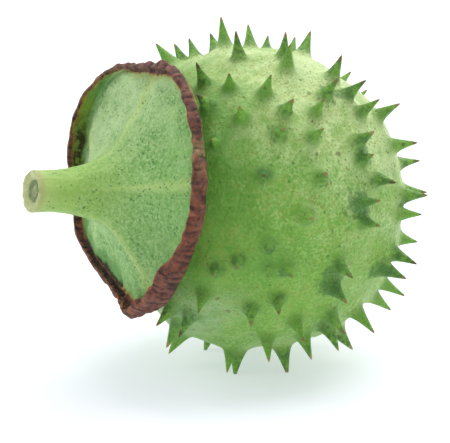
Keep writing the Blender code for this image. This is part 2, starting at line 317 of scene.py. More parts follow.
def wear_tips(bm):
    """Cuts off what would reach through the table, and closes each cut with a flat face."""
    cut = bmesh.ops.bisect_plane(
        bm, geom=[*bm.verts, *bm.edges, *bm.faces], dist=1e-7,
        plane_co=-CENTRE.z * TABLE_UP, plane_no=-TABLE_UP, clear_outer=True,
    )
    rims = [edge for edge in cut["geom_cut"] if isinstance(edge, bmesh.types.BMEdge)]
    bmesh.ops.holes_fill(bm, edges=rims)


def make_capsule(finish):
    thorns = Thorns()
    bm = skin_net(thorns)
    draw_up_rings(bm, thorns)
    raise_skin(bm, thorns)
    wear_tips(bm)
    finish_piece(bm, "capsule_body", "capsule", finish)


def collar_radius(turn):
    """The collar's outline, in metres, for an array of turns in degrees."""
    swells = [height * np.cos(lobes * np.radians(turn - crest)) for lobes, crest, height in COLLAR_SWELLS]
    return COLLAR_R + (sum(swells) + corners(turn, 2)) * MM


def corners(turn, column):
    """The sum of one of CORNERS' values, each at full strength in its corner and fading beside it."""
    total = 0 * turn
    for corner in CORNERS:
        away = (turn - corner[0] + 180) % 360 - 180
        total = total + corner[column] * np.exp(-((away / corner[1]) ** 2))
    return total


def collar_height(r):
    """The collar's outer face along a rib: a cone that flares up into the neck."""
    return COLLAR_Z + COLLAR_SLOPE * (COLLAR_R - r) + FLARE_RISE * np.exp(-(r - NECK_R) / FLARE_WIDTH)


def neck_radius():
    """Where the flare reaches the neck's height, found by halving."""
    low, high = 0.5 * NECK_R, 2 * NECK_R
    for _ in range(40):
        middle = (low + high) / 2
        low, high = (middle, high) if collar_height(middle) > NECK_Z else (low, middle)
    return middle


def margin_at(turn, column):
    """One of MARGIN's values round the margin, joined smoothly."""
    stations = np.array(sorted(MARGIN))
    fine = np.arange(-180, 180, 2.0)
    steps = np.interp(fine, stations[:, 0], stations[:, column], period=360)
    window = np.exp(-((np.arange(-10, 11) / 5.0) ** 2))
    smooth = np.convolve(np.concatenate([steps[-10:], steps, steps[:10]]), window / window.sum(), "valid")
    return np.interp(turn, fine, smooth, period=360)


def ripple(x, y, seed):
    """Soft noise from -1 to 1 over two arrays."""
    x, y = np.broadcast_arrays(x, y)
    flat = [noise.noise(Vector((a, b, seed))) for a, b in zip(x.ravel(), y.ravel())]
    return np.clip(1.6 * np.reshape(flat, x.shape), -1, 1)


def webs(turn):
    """From 0 on a rib to 1 halfway between two ribs, for turns in radians."""
    return np.abs(np.sin(0.5 * RIBS * (turn - math.radians(RIB_TURN)))) ** 1.1


def droop(point):
    """Lets the neck and the stem hang a little, as one."""
    share = min(max((point.z - 20 * MM) / (STEM_END_Z - 20 * MM), 0), 1)
    point.x -= DROOP * share * share


def margin_sheet(turn, circle, wave, crinkle):
    """The dry margin in section, round the collar: its inner and its outer face as (radius, height) rows that
    run from the fold at the collar's rim to the free edge, with how far along they are and how wide it is. It
    is shrivelled all round but for the smooth side, at SMOOTH_TURN."""
    rough = 1 - 0.65 * np.clip(2 * np.cos(circle - math.radians(SMOOTH_TURN)) - 0.2, 0, 1)
    crinkle = crinkle * rough
    tall = margin_at(turn, 1)[:, None] * MM * (1 + 0.16 * wave + 0.16 * crinkle)
    thick = margin_at(turn, 2)[:, None] * MM * (1 + 0.25 * crinkle)
    curl = np.radians(margin_at(turn, 3)[:, None] + 22 * wave + 12 * crinkle)
    rim = collar_radius(turn)[:, None] + (0.2 * wave + 0.18 * crinkle) * MM
    start = -math.atan(COLLAR_SLOPE)
    along = np.linspace(0, 1, MARGIN_STEPS)[None, :]
    bend = MARGIN_BEND * (math.pi / 2 - start)
    rise = np.maximum(tall - MARGIN_BEND * math.cos(start), 0.4 * MM)
    width = bend + rise
    length = along * width
    angle = np.where(
        length < bend,
        start + length / MARGIN_BEND,
        math.pi / 2 + (curl - math.pi / 2) * (np.maximum(length - bend, 0) / rise) ** 1.2,
    )
    step = np.diff(length, axis=1, prepend=0)
    out = np.cumsum(np.cos(angle) * step, axis=1)
    up = np.cumsum(np.sin(angle) * step, axis=1)
    root_r = rim - out.max(axis=1)[:, None] - thick / 2
    root_z = COLLAR_Z + COLLAR_SLOPE * (rim - root_r) - SHEET / 2 + corners(turn, 3)[:, None] * MM
    pleats = ripple(circle * 30, along * 1.4, 9.0)
    lumps = ripple(circle * 9, along * 4, 3.0)
    half = 0.5 * (SHEET + (thick - SHEET) * np.minimum(3 * along, 1)) * np.sqrt(1 - 0.75 * along**6)
    half = half + (0.15 * pleats + 0.2 * lumps) * (1.2 * rough - 0.2) * MM * np.minimum(2 * along, 1)
    half = np.maximum(half, 0.16 * MM)
    middle = (root_r + out, root_z + up)
    side = (-np.sin(angle), np.cos(angle))
    inner = [m + half * s for m, s in zip(middle, side)]
    outer = [m - half * s for m, s in zip(middle, side)]
    return inner, outer, length, width, pleats


def calyx_rows(turn):
    """The calyx as rows of points, one row for each turn. A row runs from the middle of the neck out over the
    collar and its margin, and back underneath to the seat on the capsule. The rows of radius and height come
    with four more for the materials: how far inside the dry edge, how near a rib, how high on a pleat, and
    how near the margin's free edge."""
    around = turn[:, None]
    circle = np.radians(around)
    wave = ripple(3.0 * np.cos(circle), 3.0 * np.sin(circle), 1.0)
    crinkle = ripple(9.0 * np.cos(circle), 9.0 * np.sin(circle), 5.0)
    inner, outer, length, width, pleats = margin_sheet(turn, circle, wave, crinkle)
    dry_from, dry_to = margin_at(turn, 4)[:, None], margin_at(turn, 5)[:, None]
    neck = neck_radius()
    rim_r, rim_z = inner[0][:, :1], inner[1][:, :1]
    fit = rim_z - collar_height(COLLAR_R)
    sag = WEB_SAG * webs(circle)

    def sheet_height(share):
        """The collar's outer face, some share of the way from the neck to the rim."""
        return (
            collar_height(neck + (COLLAR_R - neck) * share) + fit * share**2
            - sag * np.sin(np.pi * np.clip(share, 0, 1)) ** 0.8
        )

    face = FACE_SHARES[None, :]
    face_r = neck + (rim_r - neck) * face
    puckers = ripple(circle * 8, face * 5, 2.0) * 0.2 * MM * face
    face_x, face_y = face_r / MM * np.cos(circle), face_r / MM * np.sin(circle)
    soft = ripple(face_x * 0.5, face_y * 0.5, 4.0) * 0.26 * MM * face
    face_z = sheet_height(face) + puckers + soft

    back = 1 - BACK_SHARES[None, :]
    under_r = SEAT_R + (outer[0][:, :1] - SEAT_R) * back
    seat_edge = math.sqrt(SEAT_Z**2 - SEAT_R**2)
    join = back**0.5
    under_z = (sheet_height((under_r - neck) / (rim_r - neck)) - SHEET) * join + seat_edge * (1 - join)
    seat_r = np.array([[0.6, 0.3]]) * SEAT_R + 0 * around
    seat_z = np.sqrt(SEAT_Z**2 - seat_r**2)

    rib = np.exp(-((webs(circle) / 0.16) ** 2)) * np.ones_like(face)
    none, neck_top, seat_top = 0 * around, NECK_Z + 0 * around, SEAT_Z + 0 * around
    away = -8 * MM
    radius = (none, face_r, inner[0], outer[0][:, ::-1], under_r, seat_r, none)
    height = (neck_top, face_z, inner[1], outer[1][:, ::-1], under_z, seat_z, seat_top)
    dry = (
        none + away, face_r - rim_r - dry_from * width, length - dry_from * width,
        dry_to * width - 2 * width + length[:, ::-1], 0 * under_r + away, 0 * seat_r + away, none + away,
    )
    rib_end = rib[:, :1] * np.linspace(1, 0, MARGIN_STEPS)
    ribs = (none, rib, rib_end, 0 * length, 0 * under_r, 0 * seat_r, none)
    ridges = (none, 0 * face_r, pleats, pleats[:, ::-1], 0 * under_r, 0 * seat_r, none)
    edge = length / width
    edges = (none, 0 * face_r, edge, edge[:, ::-1], 0 * under_r, 0 * seat_r, none)
    return [np.concatenate(rows, axis=1) for rows in (radius, height, dry, ribs, ridges, edges)]


def make_calyx(finish):
    """A ball whose meridians are laid along the calyx's rows."""
    turns = np.arange(CALYX_STEPS) * 360 / CALYX_STEPS
    radius, height, dry, ribs, ridges, edges = calyx_rows(turns)
    rings = radius.shape[1] - 1
    bm = bmesh.new()
    bmesh.ops.create_uvsphere(bm, u_segments=CALYX_STEPS, v_segments=rings, radius=1)
    layers = [bm.verts.layers.float.new(name) for name in CALYX_LAYERS]
    for vert in bm.verts:
        ring = round(math.atan2(math.hypot(vert.co.x, vert.co.y), vert.co.z) / math.pi * rings)
        turn = math.atan2(-vert.co.y, vert.co.x)
        spot = (round(turn / (2 * math.pi) * CALYX_STEPS) % CALYX_STEPS, ring)
        vert.co = (radius[spot] * math.cos(turn), -radius[spot] * math.sin(turn), height[spot])
        droop(vert.co)
        for layer, value in zip(layers, (dry[spot] / MM, ribs[spot], ridges[spot], edges[spot])):
            vert[layer] = value
    finish_piece(bm, "calyx_collar", "calyx", finish)


def make_stem(finish):
    """The stalk, spun from half its outline: a little ridged, its cut rim ragged and its pith shrunk back."""
    neck = neck_radius()
    slope = COLLAR_SLOPE + FLARE_RISE / FLARE_WIDTH * math.exp(-(neck - NECK_R) / FLARE_WIDTH)
    reach = STEM_END_Z - NECK_Z
    outline = [(0, NECK_Z, 0)]
    for share in np.linspace(0, 0.95, 30):
        fall = (neck - STEM_R) * math.exp(-share * reach / slope / (neck - STEM_R))
        outline.append((STEM_R + fall + 0.1 * MM * share**8, NECK_Z + share * reach, 0))
    for inward, down, on_cut in CUT_END:
        outline.append((STEM_R + 0.1 * MM - inward * MM, STEM_END_Z - down * MM, on_cut))
    bm = bmesh.new()
    layer = bm.verts.layers.float.new("on_cut")
    points = []
    for r, z, on_cut in outline:
        points.append(bm.verts.new((r, 0, z)))
        points[-1][layer] = on_cut
    line = [bm.edges.new(pair) for pair in zip(points, points[1:])]
    bmesh.ops.spin(
        bm, geom=[*points, *line], axis=(0, 0, 1), cent=(0, 0, 0),
        angle=2 * math.pi, steps=STEM_STEPS, use_merge=True,
    )
    bmesh.ops.remove_doubles(bm, verts=bm.verts, dist=0.005 * MM)
    for vert in bm.verts:
        along = min(max((vert.co.z - NECK_Z) / reach, 0), 1)
        turn = math.atan2(-vert.co.y, vert.co.x)
        ridge = 0.014 * math.cos(5 * turn - 1) + 0.02 * noise.noise(Vector((3 * turn, 6 * along, 2)))
        ridge *= math.sin(math.pi * min(along, 0.5))
        vert.co.x *= 1 + ridge
        vert.co.y *= 1 + ridge
        ragged = 0.16 * noise.noise(vert.co / MM * 0.8) + 0.1 * noise.noise(vert.co / MM * 3)
        slant = -0.25 * math.sin(turn) * math.hypot(vert.co.x, vert.co.y) / STEM_R
        vert.co.z += (ragged - slant) * MM * max(0, (along - 0.88) / 0.12)
        droop(vert.co)
    finish_piece(bm, "stem_stalk", "stem", finish)


def finish_piece(bm, name, node, finish):
    """Closes a shape into a piece, lays it down in the frame and has it stand for its CAD node."""
    bmesh.ops.recalc_face_normals(bm, faces=bm.faces)
    mesh = bpy.data.meshes.new(name)
    bm.to_mesh(mesh)
    bm.free()
    mesh.transform(LAID)
    mesh.shade_smooth()
    mesh.set_sharp_from_angle(angle=math.radians(60))
    mesh.materials.append(finish)
    piece = bpy.data.objects.new(name, mesh)
    bpy.context.scene.collection.objects.link(piece)
    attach(piece, "root")
    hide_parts(node)


def put(tree, kind, inputs=None, **settings):
    """Adds a node. Each of its inputs is set to a value, or wired to the socket given."""
    node = tree.nodes.new(kind)
    for name, value in settings.items():
        setattr(node, name, value)
    for name, value in (inputs or {}).items():
        if isinstance(value, bpy.types.NodeSocket):
            tree.links.new(value, node.inputs[name])
        elif isinstance(value, tuple) and len(value) == 3 and node.inputs[name].type == "RGBA":
            node.inputs[name].default_value = (*value, 1)
        else:
            node.inputs[name].default_value = value
    return node


def sums(tree, operation, *values, clamp=False):
    """One Math node."""
    inputs = dict(enumerate(values))
    return put(tree, "ShaderNodeMath", inputs, operation=operation, use_clamp=clamp).outputs[0]


def times(tree, first, second):
    """The product of two values or masks."""
    return sums(tree, "MULTIPLY", first, second)


def fade(tree, value, start, end, first=0.0, last=1.0):
    """Eases from first to last as a value goes from start to end."""
    inputs = {"Value": value, "From Min": start, "From Max": end, "To Min": first, "To Max": last}
    return put(tree, "ShaderNodeMapRange", inputs, interpolation_type="SMOOTHSTEP").outputs["Result"]


def tint(tree, share, under, over, mode="MIX"):
    """Lays one colour over another by a mask."""
    mix = put(tree, "ShaderNodeMix", data_type="RGBA", blend_type=mode)
    for name, value in (("Factor_Float", share), ("A_Color", under), ("B_Color", over)):
        socket = next(entry for entry in mix.inputs if entry.identifier == name)
        if isinstance(value, bpy.types.NodeSocket):
            tree.links.new(value, socket)
        else:
            socket.default_value = (*value, 1) if isinstance(value, tuple) else value
    return next(entry for entry in mix.outputs if entry.identifier == "Result_Color")


def wash(tree, mask, strength, under, over):
    """Lays one colour thinly over another: at a strength of 1 the mask alone says how much."""
    return tint(tree, times(tree, mask, strength), under, over)


def ramp(tree, value, stops):
    """A colour that runs through stops of (place, colour)."""
    node = put(tree, "ShaderNodeValToRGB", {"Fac": value})
    elements = node.color_ramp.elements
    while len(elements) < len(stops):
        elements.new(0.5)
    for element, (place, colour) in zip(elements, stops):
        element.position = place
        element.color = (*colour, 1)
    return node.outputs["Color"]


def new_group(name, inputs, outputs):
    """An empty node group with its sockets, and its input and output nodes."""
    tree = bpy.data.node_groups.new(name, "ShaderNodeTree")
    for socket, kind, value in inputs:
        made = tree.interface.new_socket(socket, in_out="INPUT", socket_type=kind)
        if value is not None:
            made.default_value = value
    for socket in outputs:
        tree.interface.new_socket(socket, in_out="OUTPUT", socket_type="NodeSocketFloat")
    return tree, tree.nodes.new("NodeGroupInput").outputs, tree.nodes.new("NodeGroupOutput").inputs


def flecks_group():
    """Round flecks scattered through a surface: in only a share of the cells, and of mixed sizes."""
    tree, given, result = new_group("flecks", (
        ("Vector", "NodeSocketVector", None), ("Per mm", "NodeSocketFloat", 1.0),
        ("Share", "NodeSocketFloat", 0.5), ("Size", "NodeSocketFloat", 0.3),
    ), ("Mask",))
    scale = times(tree, given["Per mm"], 1000.0)
    blur = put(tree, "ShaderNodeTexNoise", {"Vector": given["Vector"], "Scale": scale, "Detail": 2.0})
    cells = put(tree, "ShaderNodeTexVoronoi", {"Vector": given["Vector"], "Scale": scale})
    chance = put(tree, "ShaderNodeSeparateColor", {"Color": cells.outputs["Color"]}).outputs
    ragged = sums(tree, "MULTIPLY_ADD", blur.outputs["Fac"], 0.8, cells.outputs["Distance"])
    size = times(tree, given["Size"], sums(tree, "MULTIPLY_ADD", chance["Green"], 0.8, 0.4))
    inside = sums(tree, "SUBTRACT", sums(tree, "ADD", size, 0.4), ragged)
    dot = fade(tree, inside, 0.0, 0.12)
    there = sums(tree, "LESS_THAN", chance["Red"], given["Share"])
    tree.links.new(times(tree, dot, there), result["Mask"])
    return tree


def mottle_group():
    """Cloudy variation from 0 to 1 with a set contrast."""
    tree, given, result = new_group("mottle", (
        ("Vector", "NodeSocketVector", None), ("Per mm", "NodeSocketFloat", 1.0),
        ("Detail", "NodeSocketFloat", 3.0), ("Contrast", "NodeSocketFloat", 2.0),
    ), ("Value",))
    scale = times(tree, given["Per mm"], 1000.0)
    cloud = put(tree, "ShaderNodeTexNoise", {
        "Vector": given["Vector"], "Scale": scale, "Detail": given["Detail"], "Roughness": 0.6,
    })
    centred = sums(tree, "SUBTRACT", cloud.outputs["Fac"], 0.5)
    spread = sums(tree, "MULTIPLY_ADD", centred, given["Contrast"], 0.5, clamp=True)
    tree.links.new(spread, result["Value"])
    return tree


def creases_group():
    """Thin creases: 1 along the middle of each, falling to 0 between them."""
    tree, given, result = new_group("creases", (
        ("Vector", "NodeSocketVector", None), ("Per mm", "NodeSocketFloat", 1.0),
        ("Width", "NodeSocketFloat", 0.1),
    ), ("Height",))
    scale = times(tree, given["Per mm"], 1000.0)
    cloud = put(tree, "ShaderNodeTexNoise", {"Vector": given["Vector"], "Scale": scale, "Detail": 3.0})
    off = sums(tree, "ABSOLUTE", sums(tree, "SUBTRACT", cloud.outputs["Fac"], 0.5))
    tree.links.new(fade(tree, off, 0.0, given["Width"], 1.0, 0.0), result["Height"])
    return tree


FLECKS, MOTTLE, CREASES = flecks_group(), mottle_group(), creases_group()


def effect(tree, group, **inputs):
    """One of the shared effects, placed in a material with its own values."""
    named = {name.replace("_", " "): value for name, value in inputs.items()}
    return put(tree, "ShaderNodeGroup", named, node_tree=group).outputs[0]


class Finish:
    """A material with its shader, the place on the object, and the place in the pod's own axes."""

    def __init__(self, name, roughness, sheen=0.0, soft=0.0):
        self.material = bpy.data.materials.new(name)
        self.material.use_nodes = True
        self.tree = self.material.node_tree
        self.shader = self.tree.nodes["Principled BSDF"]
        self.shader.inputs["Roughness"].default_value = roughness
        self.shader.inputs["Specular IOR Level"].default_value = 0.35
        self.shader.inputs["Sheen Weight"].default_value = sheen
        self.shader.inputs["Sheen Roughness"].default_value = 0.5
        self.shader.inputs["Subsurface Weight"].default_value = soft
        self.shader.inputs["Subsurface Scale"].default_value = 0.6 * MM
        self.shader.inputs["Subsurface Radius"].default_value = (0.6, 0.5, 0.2)
        self.place = put(self.tree, "ShaderNodeTexCoord").outputs["Object"]
        upright = LAID.inverted()
        self.in_pod = put(self.tree, "ShaderNodeMapping", {
            "Vector": self.place, "Location": upright.translation, "Rotation": upright.to_euler(),
        }).outputs["Vector"]

    def stored(self, name):
        return put(self.tree, "ShaderNodeAttribute", attribute_name=name).outputs["Fac"]

    def use(self, colour, height, depth, roughness=None):
        """Wires the colour, and a bump whose height of 1 stands depth metres proud."""
        self.tree.links.new(colour, self.shader.inputs["Base Color"])
        bump = put(self.tree, "ShaderNodeBump", {"Height": height, "Distance": depth, "Strength": 1.0})
        self.tree.links.new(bump.outputs["Normal"], self.shader.inputs["Normal"])
        if roughness is not None:
            self.tree.links.new(roughness, self.shader.inputs["Roughness"])
        return self.material


def capsule_skin():
    """Waxy green skin, pale-bloomed and freckled yellow and dark; greener thorns with dry brown tips. Light
    and shade are partly painted in: paler towards the top and right, deeper green near the collar, and part
    of the darker green round the thorns' feet.
    """
    skin = Finish("capsule_skin", 0.5, sheen=0.06, soft=0.2)
    tree, place = skin.tree, skin.place
    up_thorn, near_foot, which, bruised = (skin.stored(name) for name in CAPSULE_LAYERS)
    broad = effect(tree, MOTTLE, Vector=place, Per_mm=0.12, Detail=3.0, Contrast=3.0)
    patches = effect(tree, MOTTLE, Vector=place, Per_mm=0.42, Detail=6.0, Contrast=3.4)
    grain = effect(tree, MOTTLE, Vector=place, Per_mm=2.4, Detail=4.0, Contrast=7.0)
    fine = effect(tree, MOTTLE, Vector=place, Per_mm=4.5, Detail=3.0, Contrast=5.5)

    colour = tint(tree, broad, (0.12, 0.37, 0.028), (0.21, 0.50, 0.055))
    colour = wash(tree, patches, 0.4, colour, (0.31, 0.60, 0.11))
    colour = wash(tree, grain, 0.55, colour, (0.40, 0.66, 0.16))
    colour = wash(tree, fine, 0.34, colour, (0.11, 0.29, 0.025))
    world = put(tree, "ShaderNodeSeparateXYZ", {"Vector": place}).outputs
    pod = put(tree, "ShaderNodeSeparateXYZ", {"Vector": skin.in_pod}).outputs
    # Pale powdery coat, partly the skin's own and partly painted light: it is painted paler towards the top
    # and the right, where the light falls, and also low down near the table.
    raised = sums(tree, "MULTIPLY_ADD", world["X"], 0.6, world["Z"])
    raised = sums(tree, "MULTIPLY_ADD", fade(tree, world["Z"], 16 * MM, 4 * MM), 22 * MM, raised)
    uneven = sums(tree, "ADD", times(tree, patches, 9 * MM), times(tree, grain, 5 * MM))
    bloom_and_painted_light = fade(tree, sums(tree, "ADD", raised, uneven), 27 * MM, 57 * MM)
    clear = fade(tree, near_foot, 0.55, 0.95, 1.0, 0.1)
    cloudy = effect(tree, MOTTLE, Vector=place, Per_mm=0.22, Detail=4.0, Contrast=3.2)
    powder = sums(tree, "MULTIPLY_ADD", fine, -0.3, 1.0)
    powder = times(tree, powder, fade(tree, cloudy, 0.0, 0.6, 0.55, 1.25))
    bloom_and_painted_light = times(tree, bloom_and_painted_light, times(tree, clear, powder))
    colour = tint(tree, bloom_and_painted_light, colour, (0.63, 0.79, 0.37))
    # Painted shade: the skin is painted deeper green towards the stem, where the collar shades it.
    painted_collar_shade = fade(tree, sums(tree, "SUBTRACT", pod["Z"], times(tree, patches, 3 * MM)), 3 * MM, 14 * MM)
    colour = wash(tree, painted_collar_shade, 0.6, colour, (0.11, 0.32, 0.03))
    film = times(tree, fade(tree, pod["Z"], 7 * MM, 11 * MM), fade(tree, world["Z"], 17 * MM, 11 * MM))
    film = times(tree, film, fade(tree, patches, 0.1, 0.7, 0.5, 1.0))
    colour = wash(tree, film, 0.55, colour, (0.42, 0.58, 0.33))
    veins = effect(tree, CREASES, Vector=place, Per_mm=0.35, Width=0.018)
    colour = wash(tree, times(tree, film, veins), 0.3, colour, (0.66, 0.76, 0.58))
    olive = effect(tree, MOTTLE, Vector=place, Per_mm=1.3, Detail=4.0, Contrast=8.0)
    olive = times(tree, times(tree, olive, fade(tree, broad, 0.1, 0.8)), 0.3)
    colour = tint(tree, olive, colour, (0.34, 0.40, 0.07))
    freckles = effect(tree, FLECKS, Vector=place, Per_mm=2.7, Share=0.7, Size=0.4)
    freckles = times(tree, freckles, fade(tree, patches, 0.1, 0.6, 0.3, 1.0))
    colour = wash(tree, freckles, 0.7, colour, (0.22, 0.30, 0.025))

    # Darker green round each thorn's foot: partly the skin's own green, partly painted shade where the thorn
    # meets the skin.
    foot_green_and_shade = fade(tree, sums(tree, "MULTIPLY_ADD", grain, 0.22, near_foot), 0.35, 1.15)
    colour = wash(tree, foot_green_and_shade, 0.66, colour, (0.11, 0.30, 0.035))
    body = fade(tree, up_thorn, 0.12, 0.55)
    green = tint(tree, fine, (0.28, 0.55, 0.085), (0.14, 0.36, 0.03))
    colour = wash(tree, body, 0.75, colour, green)

    dark = effect(tree, FLECKS, Vector=place, Per_mm=1.7, Share=0.17, Size=0.34)
    dark = times(tree, dark, fade(tree, patches, 0.9, 0.3))
    colour = wash(tree, dark, 0.6, colour, (0.06, 0.16, 0.03))
    scars = effect(tree, FLECKS, Vector=place, Per_mm=1.2, Share=0.05, Size=0.4)
    colour = wash(tree, scars, 0.6, colour, (0.12, 0.12, 0.025))
    bruise = effect(tree, MOTTLE, Vector=place, Per_mm=1.4, Detail=4.0, Contrast=7.0)
    bruise = times(tree, bruise, fade(tree, near_foot, 0.4, 0.9))
    bruise = times(tree, bruise, fade(tree, sums(tree, "ADD", which, broad), 0.7, 1.3))
    colour = wash(tree, bruise, 0.65, colour, (0.04, 0.13, 0.035))
    blotchy = effect(tree, MOTTLE, Vector=place, Per_mm=0.9, Detail=6.0, Contrast=4.0)
    dark_spot = fade(tree, sums(tree, "MULTIPLY_ADD", blotchy, 0.6, bruised), 0.62, 1.15)
    dark_spot = times(tree, dark_spot, fade(tree, grain, 0.0, 1.0, 0.95, 0.6))
    colour = wash(tree, dark_spot, 0.85, colour, (0.055, 0.185, 0.035))

    tip = sums(tree, "MULTIPLY_ADD", sums(tree, "SUBTRACT", grain, 0.5), 0.1, up_thorn)
    tip = fade(tree, sums(tree, "MULTIPLY_ADD", which, 0.12, tip), 0.83, 0.94)
    dried = ramp(tree, which, (
        (0.0, (0.11, 0.08, 0.02)), (0.25, (0.24, 0.15, 0.04)),
        (0.55, (0.38, 0.25, 0.09)), (0.9, (0.10, 0.07, 0.02)),
    ))
    dried = tint(tree, fade(tree, world["Z"], 9 * MM, 3 * MM, 0.0, 0.85), dried, (0.42, 0.40, 0.13))
    colour = wash(tree, tip, 0.9, colour, dried)
    height = sums(tree, "ADD", times(tree, patches, 1.2), times(tree, grain, 0.8))
    height = sums(tree, "MULTIPLY_ADD", fine, 0.25, height)
    return skin.use(colour, height, 0.09 * MM, fade(tree, bloom_and_painted_light, 0.0, 1.0, 0.46, 0.62))


def calyx_green():
    """Matt green sheet with pale ribs and dark pinpricks, and a margin that has dried brown. Light and shade
    are
    painted in: paler towards the upper left, darker green and near black where the disc meets the margin,
    lighter crests and dark hollows on the margin's pleats.
    """
    sheet = Finish("calyx_green", 0.58, sheen=0.03, soft=0.1)
    tree, place, in_pod = sheet.tree, sheet.place, sheet.in_pod
    inside, rib, pleat, edge = (sheet.stored(name) for name in CALYX_LAYERS)
    axes = put(tree, "ShaderNodeSeparateXYZ", {"Vector": in_pod}).outputs
    turn = sums(tree, "ARCTAN2", times(tree, axes["Y"], -1.0), axes["X"])
    around = sums(tree, "MULTIPLY_ADD", turn, 0.5 / math.pi, 0.5)
    patches = effect(tree, MOTTLE, Vector=place, Per_mm=0.3, Detail=5.0, Contrast=3.4)
    grain = effect(tree, MOTTLE, Vector=place, Per_mm=2.2, Detail=4.0, Contrast=5.5)
    fine = effect(tree, MOTTLE, Vector=place, Per_mm=4.5, Detail=3.0, Contrast=5.5)

    clouds = effect(tree, MOTTLE, Vector=place, Per_mm=0.13, Detail=4.0, Contrast=4.0)
    colour = tint(tree, patches, (0.13, 0.35, 0.065), (0.34, 0.58, 0.19))
    colour = wash(tree, clouds, 0.4, colour, (0.13, 0.36, 0.065))
    colour = wash(tree, grain, 0.58, colour, (0.54, 0.73, 0.35))
    colour = wash(tree, fine, 0.44, colour, (0.10, 0.28, 0.05))
    # Painted light: the disc is painted paler towards its upper left, where the light falls.
    upper_left = sums(tree, "MULTIPLY_ADD", axes["Y"], 1.2, axes["X"])
    pale = times(tree, fade(tree, upper_left, -4 * MM, 18 * MM), fade(tree, patches, 0.0, 0.8, 0.5, 1.0))
    colour = wash(tree, pale, 0.6, colour, (0.50, 0.66, 0.34))
    low = times(tree, fade(tree, axes["X"], -6 * MM, -17 * MM), fade(tree, patches, 0.2, 0.8, 0.2, 0.62))
    colour = tint(tree, low, colour, (0.17, 0.37, 0.09))
    near_side = times(tree, fade(tree, axes["Y"], -3 * MM, -15 * MM), 0.5)
    colour = tint(tree, near_side, colour, (0.17, 0.41, 0.08))
    neck = fade(tree, axes["Z"], 19.5 * MM, 27 * MM)
    neck_green = tint(tree, grain, (0.26, 0.47, 0.085), (0.35, 0.55, 0.14))
    colour = wash(tree, neck, 0.85, colour, neck_green)
    along_rib = times(tree, rib, fade(tree, axes["Z"], 30 * MM, 21 * MM, 0.1, 0.55))
    colour = tint(tree, along_rib, colour, (0.47, 0.63, 0.20))
    pricks = effect(tree, FLECKS, Vector=place, Per_mm=2.7, Share=0.6, Size=0.36)
    pricks = times(tree, pricks, fade(tree, patches, 1.0, 0.3, 0.4, 1.0))
    colour = wash(tree, pricks, 0.75, colour, (0.055, 0.16, 0.04))
    blots = effect(tree, FLECKS, Vector=place, Per_mm=1.9, Share=0.12, Size=0.36)
    colour = wash(tree, blots, 0.6, colour, (0.07, 0.17, 0.05))

    dry_colour = ramp(tree, around, (
        (0.0, (0.16, 0.06, 0.045)), (0.04, (0.21, 0.12, 0.07)), (0.11, (0.17, 0.075, 0.05)),
        (0.19, (0.10, 0.04, 0.03)), (0.25, (0.05, 0.035, 0.03)), (0.285, (0.09, 0.075, 0.03)),
        (0.34, (0.17, 0.13, 0.06)), (0.42, (0.27, 0.17, 0.09)), (0.47, (0.15, 0.085, 0.075)),
        (0.55, (0.16, 0.10, 0.095)), (0.60, (0.18, 0.08, 0.06)), (0.64, (0.11, 0.04, 0.035)),
        (0.665, (0.29, 0.27, 0.13)), (0.695, (0.2, 0.08, 0.05)), (0.76, (0.2, 0.055, 0.035)),
        (0.84, (0.17, 0.06, 0.04)), (0.90, (0.19, 0.07, 0.055)), (1.0, (0.16, 0.065, 0.05)),
    ))
    fibres = effect(tree, MOTTLE, Vector=place, Per_mm=1.4, Detail=5.0, Contrast=7.0)
    blotch = effect(tree, MOTTLE, Vector=place, Per_mm=0.6, Detail=5.0, Contrast=8.0)
    dry_colour = wash(tree, blotch, 0.75, dry_colour, (0.05, 0.019, 0.02))
    dry_colour = wash(tree, fibres, 0.36, dry_colour, (0.44, 0.14, 0.05))
    # Painted highlight on the crests of the margin's pleats, and painted shade, near black, down between
    # them.
    crest = fade(tree, pleat, 0.1, 0.7)
    painted_groove_shade = fade(tree, pleat, 0.0, -0.9)
    dry_colour = wash(tree, crest, 0.3, dry_colour, (0.42, 0.17, 0.11))
    dry_colour = wash(tree, painted_groove_shade, 0.8, dry_colour, (0.022, 0.009, 0.009))
    burnt = times(tree, fade(tree, edge, 0.92, 0.99), fade(tree, around, 0.5, 0.62, 0.15, 0.6))
    dry_colour = tint(tree, times(tree, burnt, fade(tree, fibres, 0.1, 0.8)), dry_colour, (0.42, 0.13, 0.04))
    shaded = times(tree, fade(tree, edge, 0.95, 0.55), fade(tree, around, 0.17, 0.12))
    dry_colour = wash(tree, shaded, 0.85, dry_colour, (0.02, 0.014, 0.01))
    ragged = sums(tree, "MULTIPLY_ADD", sums(tree, "SUBTRACT", patches, 0.5), 0.6, inside)
    ragged = sums(tree, "MULTIPLY_ADD", sums(tree, "SUBTRACT", fibres, 0.5), 0.25, ragged)
    # Painted shade: deeper green in the low ground between the disc and the upturned margin, a little inside
    # the dry edge, on the left and lower left.
    painted_valley_shade = times(tree, fade(tree, ragged, -3.2, -1.6), fade(tree, around, 0.44, 0.36))
    colour = wash(tree, painted_valley_shade, 0.8, colour, (0.09, 0.27, 0.05))
    near_edge = times(tree, fade(tree, ragged, -1.2, -0.1), 0.6)
    colour = tint(tree, near_edge, colour, (0.24, 0.29, 0.03))
    # Painted shadow: near black where the disc's edge stands apart from the margin, at the lower left.
    painted_gap_shadow = times(tree, fade(tree, ragged, -1.3, -0.5), fade(tree, around, 0.18, 0.13))
    colour = tint(tree, painted_gap_shadow, colour, (0.02, 0.018, 0.008))
    far_wall = fade(tree, sums(tree, "ABSOLUTE", sums(tree, "SUBTRACT", around, 0.27)), 0.1, 0.06)
    yellowed = times(tree, fade(tree, ragged, -2.3, -1.2), far_wall)
    colour = wash(tree, yellowed, 0.75, colour, (0.25, 0.36, 0.03))
